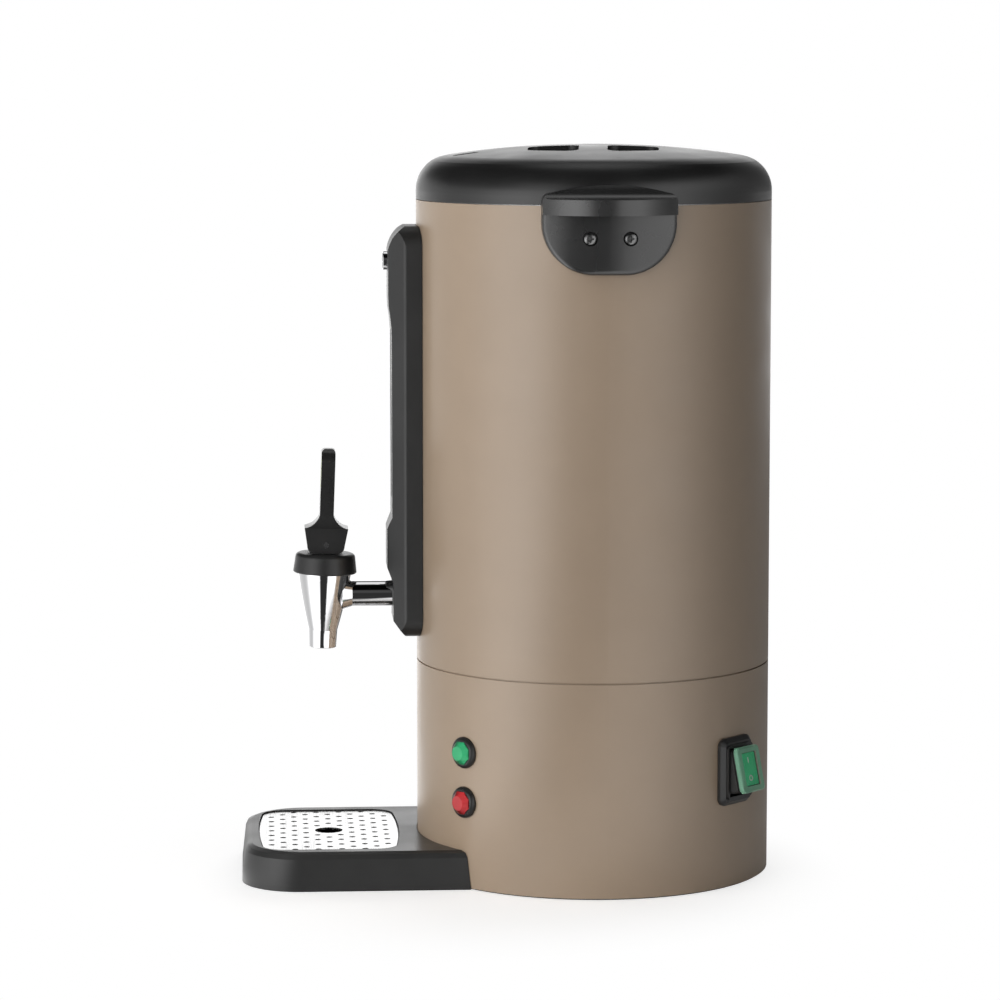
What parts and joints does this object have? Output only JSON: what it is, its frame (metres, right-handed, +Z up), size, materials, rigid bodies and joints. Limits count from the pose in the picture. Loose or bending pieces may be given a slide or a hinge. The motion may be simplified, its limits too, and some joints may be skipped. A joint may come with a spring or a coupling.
{
  "type": "coffee urn",
  "caption": "Percolating coffee urn with a lever tap, a sight-glass column, side handles, pilot lamps, a rocker switch, a lift-off lid and a drip tray with a grid.",
  "frame": {"origin": "on the body's axis at the height of the table", "axes": "+Z up, -Y towards the tap and the drip tray, +X towards the pilot lamps and the switch"},
  "size_m": [0.268, 0.3225, 0.4412],
  "materials": {
    "taupe_paint": "satin",
    "black_plastic": "satin",
    "grey_plastic": "matte",
    "white_plastic": "matte",
    "chrome": "polished",
    "steel": "brushed",
    "grid_steel": "bright",
    "aluminium": "cast",
    "brass": "plain",
    "rubber": "matte",
    "silicone": "translucent",
    "glass": "clear",
    "clear_cap": "clear",
    "green_plastic": "glossy",
    "red_plastic": "glossy",
    "lime_plastic": "satin",
    "lead_insulation": "matte"
  },
  "bodies": {
    "urn": {"outer_shell": "taupe_paint", "base_shell": "taupe_paint", "inner_tank": "steel", "base_plate": "steel", "base_screws": "steel", "foot_ring": "rubber", "heater_plate": "aluminium", "heater_element": "steel", "heater_clamp": "steel", "clamp_nuts": "steel", "thermostat": "aluminium", "thermal_cutout": "aluminium", "sensor_nuts": "steel", "terminal_block": "white_plastic", "wiring": "lead_insulation", "inlet_socket": "black_plastic", "inlet_pins": "brass", "inlet_screws": "steel", "switch_housing": "grey_plastic", "lamp_bezels": "black_plastic", "green_lens": "green_plastic", "red_lens": "red_plastic", "lamp_nuts": "steel", "handle_right": "black_plastic", "handle_left": "black_plastic", "handle_screws": "chrome", "handle_nuts": "steel", "column_cover": "black_plastic", "column_stud": "chrome", "column_nut": "steel", "sight_fitting": "white_plastic", "sight_bracket": "white_plastic", "sight_glass": "glass", "sight_seals": "silicone", "tap_body": "chrome", "tap_bonnet": "black_plastic", "tap_spring": "steel", "shank_spacer": "white_plastic", "shank_gasket": "silicone", "shank_nut": "chrome"},
    "stem": {"tap_stem": "steel", "seat_cup": "silicone"},
    "lever": {"tap_lever": "black_plastic", "lever_inlay": "lime_plastic", "lever_pin": "chrome"},
    "rocker": {"switch_boot": "black_plastic", "switch_rocker": "green_plastic", "switch_cap": "clear_cap"},
    "lid": {"lid_shell": "black_plastic", "lid_liner": "steel", "lid_seal": "silicone", "lid_screws": "steel"},
    "pump": {"pump_tube": "aluminium"},
    "basket": {"coffee_basket": "aluminium"},
    "cover": {"basket_cover": "aluminium"},
    "tray": {"drip_tray": "black_plastic"},
    "grid": {"drip_grid": "grid_steel"}
  },
  "joints": [
    {"name": "stem_lift", "type": "slide", "parent": "urn", "child": "stem", "axis": [0, 0.0349, 0.9994], "range_m": [0, 0.0063], "stiffness_N_per_m": 300, "springref_m": -0.008, "deforming": ["tap_spring"]},
    {"name": "lever_tilt", "type": "hinge", "parent": "stem", "child": "lever", "pos_m": [0, -0.16292, 0.19968], "axis": [1, 0, 0], "range_deg": [0, 60]},
    {"name": "switch_rock", "type": "hinge", "parent": "urn", "child": "rocker", "pos_m": [0.07536, 0.08081, 0.0708], "axis": [-0.7314, 0.682, 0], "range_deg": [0, 25]},
    {"name": "lid_lift", "type": "slide", "parent": "urn", "child": "lid", "axis": [0, 0, 1], "range_m": [0, 0.6]},
    {"name": "pump_lift", "type": "slide", "parent": "urn", "child": "pump", "axis": [0, 0, 1], "range_m": [0, 0.3]},
    {"name": "basket_lift", "type": "slide", "parent": "pump", "child": "basket", "axis": [0, 0, 1], "range_m": [0, 0.09]},
    {"name": "cover_lift", "type": "slide", "parent": "basket", "child": "cover", "axis": [0, 0, 1], "range_m": [0, 0.048]},
    {"name": "tray_slide", "type": "slide", "parent": "urn", "child": "tray", "axis": [0, -1, 0], "range_m": [0, 0.12]},
    {"name": "grid_lift", "type": "slide", "parent": "tray", "child": "grid", "axis": [0, 0, 1], "range_m": [0, 0.06]}
  ],
  "couplings": [
    {"joint": "lever_tilt", "follows": "stem_lift", "rad_per_m": 166.22},
    {"joint": "pump_lift", "follows": "lid_lift", "ratio": 0.5},
    {"joint": "basket_lift", "follows": "lid_lift", "ratio": 0.15},
    {"joint": "cover_lift", "follows": "lid_lift", "ratio": 0.08}
  ]
}
